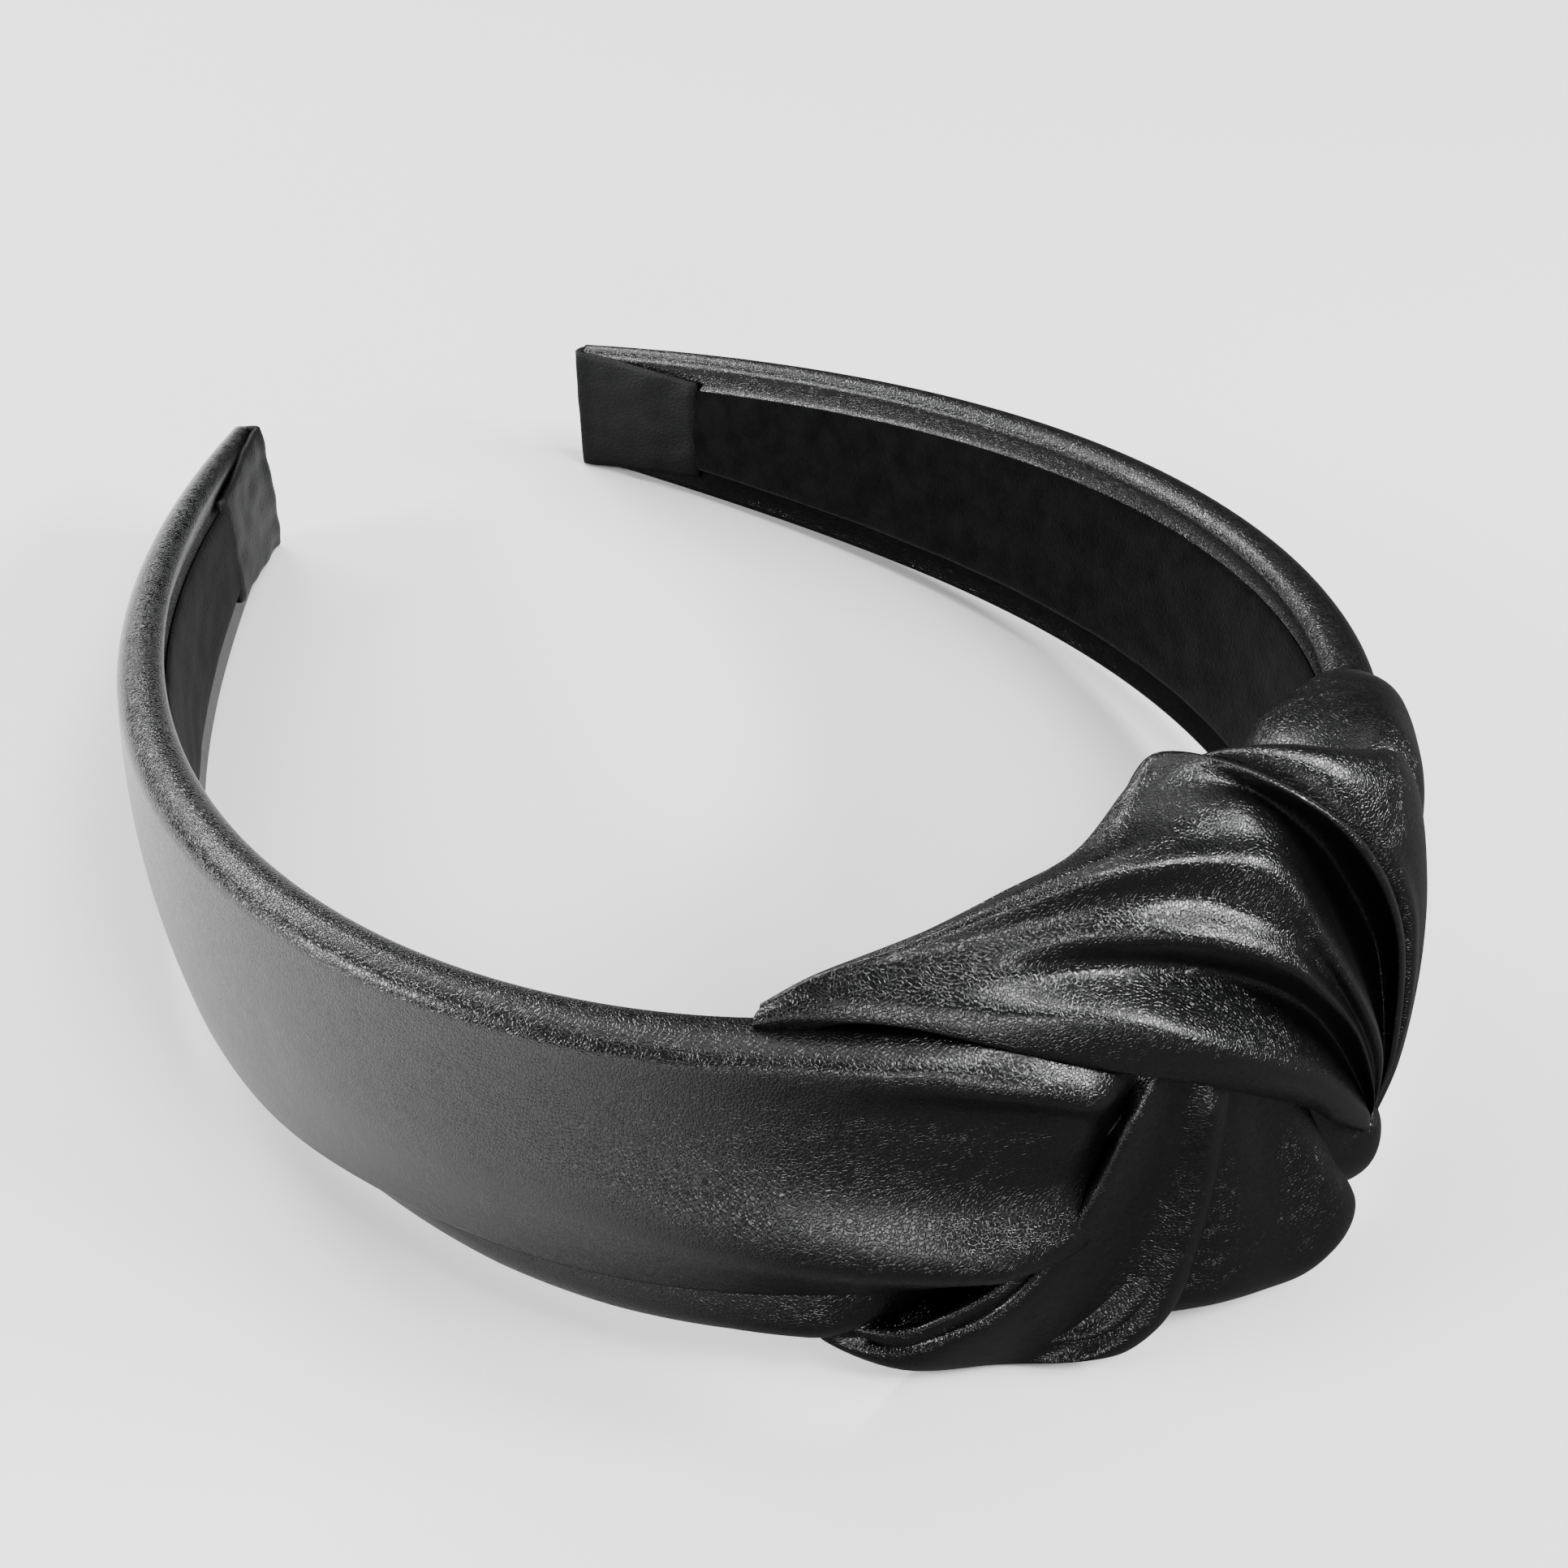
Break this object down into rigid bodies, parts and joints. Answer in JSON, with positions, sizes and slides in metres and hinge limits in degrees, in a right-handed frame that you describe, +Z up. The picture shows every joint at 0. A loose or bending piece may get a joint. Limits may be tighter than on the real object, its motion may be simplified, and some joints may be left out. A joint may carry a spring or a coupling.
{
  "type": "knotted headband",
  "caption": "Padded C-shaped hair band covered in soft black faux leather, with a velvet inner lining and a gathered knot of wrapped leather strips at the crown.",
  "frame": {"origin": "centre of the bounding box at the surface the headband lies on", "axes": "+Z up from the surface, +Y from the knot to the open tips, +X to the right arm; the band lies on its side, so its width runs nearly along Z, leaning 6.2 degrees"},
  "size_m": [0.1266, 0.1708, 0.0534],
  "materials": {
    "soft_leather": "soft satin, fine grain",
    "tab_leather": "matte",
    "velvet_lining": "matte pile",
    "foam_padding": "matte",
    "plastic_core": "matte"
  },
  "bodies": {
    "crown": {"crown_core": "plastic_core", "crown_foam": "foam_padding", "crown_lining": "velvet_lining", "left_crown_cover": "soft_leather", "right_crown_cover": "soft_leather", "left_crown_pleat": "soft_leather", "knot_upper_flap": "soft_leather", "knot_lower_strip": "soft_leather", "knot_lower_lobe": "soft_leather", "knot_small_lobe": "soft_leather", "knot_rear_strip": "soft_leather", "knot_inner_wrap": "soft_leather", "knot_pad": "foam_padding"},
    "left_arm": {"left_arm_core": "plastic_core", "left_arm_foam": "foam_padding", "left_arm_lining": "velvet_lining", "left_arm_cover": "soft_leather", "left_arm_pleat": "soft_leather", "left_tip_tab": "tab_leather"},
    "right_arm": {"right_arm_core": "plastic_core", "right_arm_foam": "foam_padding", "right_arm_lining": "velvet_lining", "right_arm_cover": "soft_leather", "right_tip_tab": "tab_leather"}
  },
  "joints": [
    {"name": "left_arm_flex", "type": "hinge", "parent": "crown", "child": "left_arm", "pos_m": [-0.04254, -0.05214, 0.02363], "axis": [0, 0.1085, 0.9941], "range_deg": [-4, 14], "stiffness_Nm_per_rad": 1.2},
    {"name": "right_arm_flex", "type": "hinge", "parent": "crown", "child": "right_arm", "pos_m": [0.05281, -0.03663, 0.02194], "axis": [0, -0.1085, -0.9941], "range_deg": [-4, 14], "stiffness_Nm_per_rad": 1.2}
  ]
}
